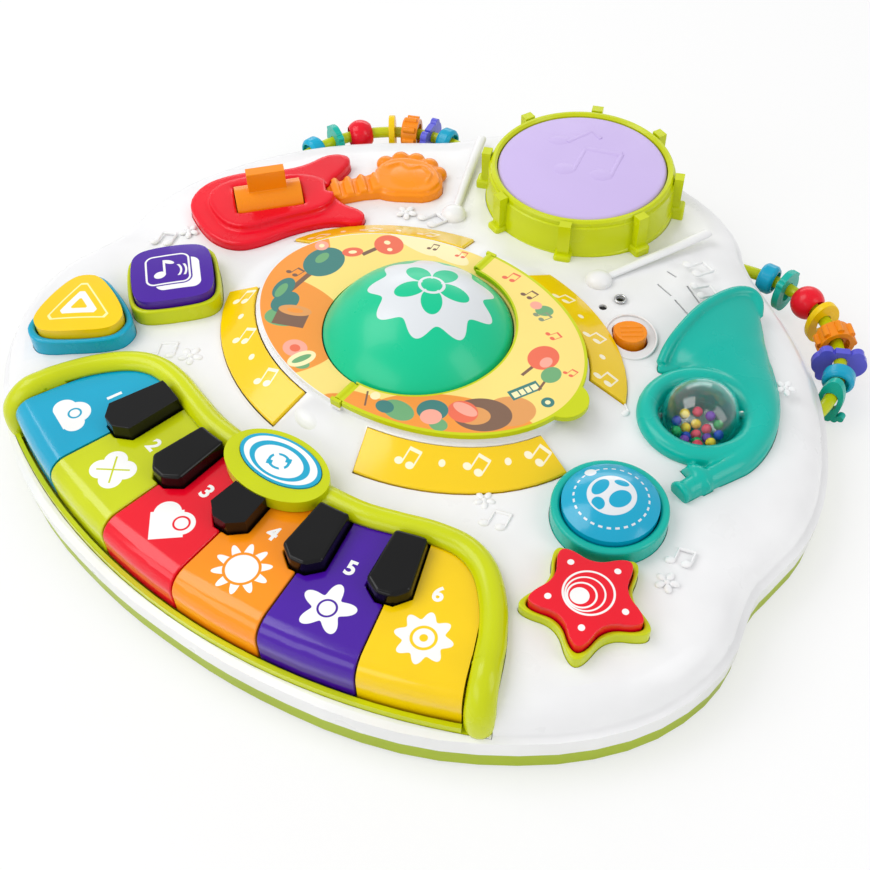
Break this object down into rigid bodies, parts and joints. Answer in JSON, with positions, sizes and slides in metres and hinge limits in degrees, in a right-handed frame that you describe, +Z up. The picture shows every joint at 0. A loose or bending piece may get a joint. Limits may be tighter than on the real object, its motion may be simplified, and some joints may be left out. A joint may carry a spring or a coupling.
{
  "type": "musical activity table top",
  "caption": "Battery musical activity table top for toddlers: fan-shaped piano, drum, guitar, trumpet with rattle, shaped buttons, light-up dome, flip page and bead rails.",
  "frame": {"origin": "Middle of the footprint, on the floor under the rubber feet.", "axes": "+Z is up. The piano faces -Y, the drum is at +Y, the trumpet and the star button are at +X, the guitar at -X."},
  "size_m": [0.4534, 0.4336, 0.0903],
  "materials": {
    "lime": "glossy moulded plastic",
    "white": "glossy moulded plastic",
    "olive": "moulded plastic",
    "steel": "plated steel",
    "rubber": "soft rubber",
    "speaker_black": "paper cone and frame",
    "board_green": "lacquered circuit board",
    "cell_case": "printed sleeve",
    "picture_print": "printed plastic",
    "window_yellow": "clear-tinted plastic",
    "dome_green": "clear-tinted plastic with a print",
    "page_print": "printed plastic with a lime rim",
    "blue": "glossy moulded plastic",
    "red": "glossy moulded plastic",
    "orange": "glossy moulded plastic",
    "purple": "glossy moulded plastic",
    "yellow": "glossy moulded plastic",
    "black": "glossy moulded plastic",
    "teal": "glossy moulded plastic",
    "lilac": "satin moulded plastic",
    "clear": "clear polystyrene",
    "mixed_beads": "small balls of several colours",
    "violet": "glossy moulded plastic"
  },
  "bodies": {
    "casing": {"base_shell": "lime", "top_shell": "white", "battery_door": "olive", "case_screws": "steel", "rubber_feet": "rubber", "speaker": "speaker_black", "main_board": "board_green", "batteries": "cell_case", "battery_contacts": "steel", "picture_disc": "picture_print", "light_windows": "window_yellow", "piano_bezel": "lime", "square_collar": "lime", "triangle_collar": "blue", "star_collar": "lime", "globe_collar": "teal", "guitar_body": "red", "guitar_neck": "orange", "drum_shell": "lime", "trumpet_body": "teal", "rail_right": "lime", "rail_left": "lime"},
    "dome": {"dome_button": "dome_green"},
    "mode": {"mode_button": "blue"},
    "square": {"square_button": "purple"},
    "triangle": {"triangle_button": "yellow"},
    "star": {"star_button": "red"},
    "globe": {"globe_button": "blue"},
    "drum": {"drum_head": "lilac"},
    "key_blue": {"key_blue": "blue"},
    "key_green": {"key_green": "lime"},
    "key_red": {"key_red": "red"},
    "key_orange": {"key_orange": "orange"},
    "key_purple": {"key_purple": "purple"},
    "key_yellow": {"key_yellow": "yellow"},
    "black_1": {"black_key_1": "black"},
    "black_2": {"black_key_2": "black"},
    "black_3": {"black_key_3": "black"},
    "black_4": {"black_key_4": "black"},
    "black_5": {"black_key_5": "black"},
    "page": {"flip_page": "page_print"},
    "strummer": {"strum_lever": "orange"},
    "rattle": {"rattle_ball": "clear", "rattle_beads": "mixed_beads"},
    "beak": {"beak_switch": "orange"},
    "bead_r1": {"right_bead_1": "blue"},
    "bead_r2": {"right_bead_2": "teal"},
    "bead_r3": {"right_bead_3": "red"},
    "bead_r4": {"right_bead_4": "yellow"},
    "bead_r5": {"right_bead_5": "orange"},
    "bead_r6": {"right_bead_6": "violet"},
    "bead_r7": {"right_bead_7": "blue"},
    "bead_r8": {"right_bead_8": "teal"},
    "bead_l1": {"left_bead_1": "blue"},
    "bead_l2": {"left_bead_2": "teal"},
    "bead_l3": {"left_bead_3": "red"},
    "bead_l4": {"left_bead_4": "yellow"},
    "bead_l5": {"left_bead_5": "orange"},
    "bead_l6": {"left_bead_6": "violet"},
    "bead_l7": {"left_bead_7": "blue"}
  },
  "joints": [
    {"name": "dome_press", "type": "slide", "parent": "casing", "child": "dome", "axis": [0, 0, -1], "range_m": [0, 0.003], "stiffness_N_per_m": 400, "springref_m": -0.004},
    {"name": "mode_press", "type": "slide", "parent": "casing", "child": "mode", "axis": [0, 0, -1], "range_m": [0, 0.002], "stiffness_N_per_m": 200, "springref_m": -0.003},
    {"name": "square_press", "type": "slide", "parent": "casing", "child": "square", "axis": [0, 0, -1], "range_m": [0, 0.003], "stiffness_N_per_m": 250, "springref_m": -0.004},
    {"name": "triangle_press", "type": "slide", "parent": "casing", "child": "triangle", "axis": [0, 0, -1], "range_m": [0, 0.003], "stiffness_N_per_m": 250, "springref_m": -0.004},
    {"name": "star_press", "type": "slide", "parent": "casing", "child": "star", "axis": [0, 0, -1], "range_m": [0, 0.003], "stiffness_N_per_m": 250, "springref_m": -0.004},
    {"name": "globe_press", "type": "slide", "parent": "casing", "child": "globe", "axis": [0, 0, -1], "range_m": [0, 0.003], "stiffness_N_per_m": 250, "springref_m": -0.004},
    {"name": "drum_press", "type": "slide", "parent": "casing", "child": "drum", "axis": [0, 0, -1], "range_m": [0, 0.002], "stiffness_N_per_m": 500, "springref_m": -0.003},
    {"name": "key_blue_hinge", "type": "hinge", "parent": "casing", "child": "key_blue", "pos_m": [-0.09526, -0.11277, 0.046], "axis": [0.9367, -0.3502, 0], "range_deg": [0, 3], "stiffness_Nm_per_rad": 0.6, "springref_deg": -3.44},
    {"name": "key_green_hinge", "type": "hinge", "parent": "casing", "child": "key_green", "pos_m": [-0.05794, -0.12376, 0.046], "axis": [0.977, -0.213, 0], "range_deg": [0, 3], "stiffness_Nm_per_rad": 0.6, "springref_deg": -3.44},
    {"name": "key_red_hinge", "type": "hinge", "parent": "casing", "child": "key_red", "pos_m": [-0.01945, -0.1293, 0.046], "axis": [0.9974, -0.0715, 0], "range_deg": [0, 3], "stiffness_Nm_per_rad": 0.6, "springref_deg": -3.44},
    {"name": "key_orange_hinge", "type": "hinge", "parent": "casing", "child": "key_orange", "pos_m": [0.01945, -0.1293, 0.046], "axis": [0.9974, 0.0715, 0], "range_deg": [0, 3], "stiffness_Nm_per_rad": 0.6, "springref_deg": -3.44},
    {"name": "key_purple_hinge", "type": "hinge", "parent": "casing", "child": "key_purple", "pos_m": [0.05794, -0.12376, 0.046], "axis": [0.977, 0.213, 0], "range_deg": [0, 3], "stiffness_Nm_per_rad": 0.6, "springref_deg": -3.44},
    {"name": "key_yellow_hinge", "type": "hinge", "parent": "casing", "child": "key_yellow", "pos_m": [0.09526, -0.11277, 0.046], "axis": [0.9367, 0.3502, 0], "range_deg": [0, 3], "stiffness_Nm_per_rad": 0.6, "springref_deg": -3.44},
    {"name": "black_1_hinge", "type": "hinge", "parent": "casing", "child": "black_1", "pos_m": [-0.0768, -0.11893, 0.046], "axis": [0.9593, -0.2823, 0], "range_deg": [0, 3], "stiffness_Nm_per_rad": 0.35, "springref_deg": -3.44},
    {"name": "black_2_hinge", "type": "hinge", "parent": "casing", "child": "black_2", "pos_m": [-0.0388, -0.12722, 0.046], "axis": [0.9898, -0.1426, 0], "range_deg": [0, 3], "stiffness_Nm_per_rad": 0.35, "springref_deg": -3.44},
    {"name": "black_3_hinge", "type": "hinge", "parent": "casing", "child": "black_3", "pos_m": [0, -0.13, 0.046], "axis": [1, 0, 0], "range_deg": [0, 3], "stiffness_Nm_per_rad": 0.35, "springref_deg": -3.44},
    {"name": "black_4_hinge", "type": "hinge", "parent": "casing", "child": "black_4", "pos_m": [0.0388, -0.12722, 0.046], "axis": [0.9898, 0.1426, 0], "range_deg": [0, 3], "stiffness_Nm_per_rad": 0.35, "springref_deg": -3.44},
    {"name": "black_5_hinge", "type": "hinge", "parent": "casing", "child": "black_5", "pos_m": [0.0768, -0.11893, 0.046], "axis": [0.9593, 0.2823, 0], "range_deg": [0, 3], "stiffness_Nm_per_rad": 0.35, "springref_deg": -3.44},
    {"name": "page_hinge", "type": "hinge", "parent": "casing", "child": "page", "pos_m": [0, -0.016, 0.0646], "axis": [0, -1, 0], "range_deg": [0, 180]},
    {"name": "strum_rock", "type": "hinge", "parent": "casing", "child": "strummer", "pos_m": [-0.148, 0.0285, 0.0505], "axis": [0.6561, 0.7547, 0], "range_deg": [-20, 20], "stiffness_Nm_per_rad": 0.06},
    {"name": "rattle_spin", "type": "hinge", "parent": "casing", "child": "rattle", "pos_m": [0.1495, 0.027, 0.05], "axis": [0.7986, 0.6018, 0], "continuous": true},
    {"name": "beak_slide", "type": "slide", "parent": "casing", "child": "beak", "axis": [-0.6018, 0.7986, 0], "range_m": [-0.0025, 0.0025]},
    {"name": "right_bead_1_slide", "type": "hinge", "parent": "casing", "child": "bead_r1", "pos_m": [0.1193, 0.1047, 0.019], "axis": [0, 0, 1], "range_deg": [-2.4, 0.4]},
    {"name": "right_bead_2_slide", "type": "hinge", "parent": "casing", "child": "bead_r2", "pos_m": [0.1193, 0.1047, 0.019], "axis": [0, 0, 1], "range_deg": [-2.4, 2.4]},
    {"name": "right_bead_3_slide", "type": "hinge", "parent": "casing", "child": "bead_r3", "pos_m": [0.1193, 0.1047, 0.019], "axis": [0, 0, 1], "range_deg": [-2.4, 2.4]},
    {"name": "right_bead_4_slide", "type": "hinge", "parent": "casing", "child": "bead_r4", "pos_m": [0.1193, 0.1047, 0.019], "axis": [0, 0, 1], "range_deg": [-2.4, 2.4]},
    {"name": "right_bead_5_slide", "type": "hinge", "parent": "casing", "child": "bead_r5", "pos_m": [0.1193, 0.1047, 0.019], "axis": [0, 0, 1], "range_deg": [-2.4, 2.4]},
    {"name": "right_bead_6_slide", "type": "hinge", "parent": "casing", "child": "bead_r6", "pos_m": [0.1193, 0.1047, 0.019], "axis": [0, 0, 1], "range_deg": [-2.4, 2.4]},
    {"name": "right_bead_7_slide", "type": "hinge", "parent": "casing", "child": "bead_r7", "pos_m": [0.1193, 0.1047, 0.019], "axis": [0, 0, 1], "range_deg": [-2.4, 2.4]},
    {"name": "right_bead_8_slide", "type": "hinge", "parent": "casing", "child": "bead_r8", "pos_m": [0.1193, 0.1047, 0.019], "axis": [0, 0, 1], "range_deg": [-0.3, 2.4]},
    {"name": "left_bead_1_slide", "type": "hinge", "parent": "casing", "child": "bead_l1", "pos_m": [-0.1193, 0.1047, 0.019], "axis": [0, 0, -1], "range_deg": [-2.4, 2.4]},
    {"name": "left_bead_2_slide", "type": "hinge", "parent": "casing", "child": "bead_l2", "pos_m": [-0.1193, 0.1047, 0.019], "axis": [0, 0, -1], "range_deg": [-2.4, 2.4]},
    {"name": "left_bead_3_slide", "type": "hinge", "parent": "casing", "child": "bead_l3", "pos_m": [-0.1193, 0.1047, 0.019], "axis": [0, 0, -1], "range_deg": [-2.4, 2.4]},
    {"name": "left_bead_4_slide", "type": "hinge", "parent": "casing", "child": "bead_l4", "pos_m": [-0.1193, 0.1047, 0.019], "axis": [0, 0, -1], "range_deg": [-2.4, 2.4]},
    {"name": "left_bead_5_slide", "type": "hinge", "parent": "casing", "child": "bead_l5", "pos_m": [-0.1193, 0.1047, 0.019], "axis": [0, 0, -1], "range_deg": [-2.4, 2.4]},
    {"name": "left_bead_6_slide", "type": "hinge", "parent": "casing", "child": "bead_l6", "pos_m": [-0.1193, 0.1047, 0.019], "axis": [0, 0, -1], "range_deg": [-2.4, 2.4]},
    {"name": "left_bead_7_slide", "type": "hinge", "parent": "casing", "child": "bead_l7", "pos_m": [-0.1193, 0.1047, 0.019], "axis": [0, 0, -1], "range_deg": [-2.4, 2.4]}
  ]
}
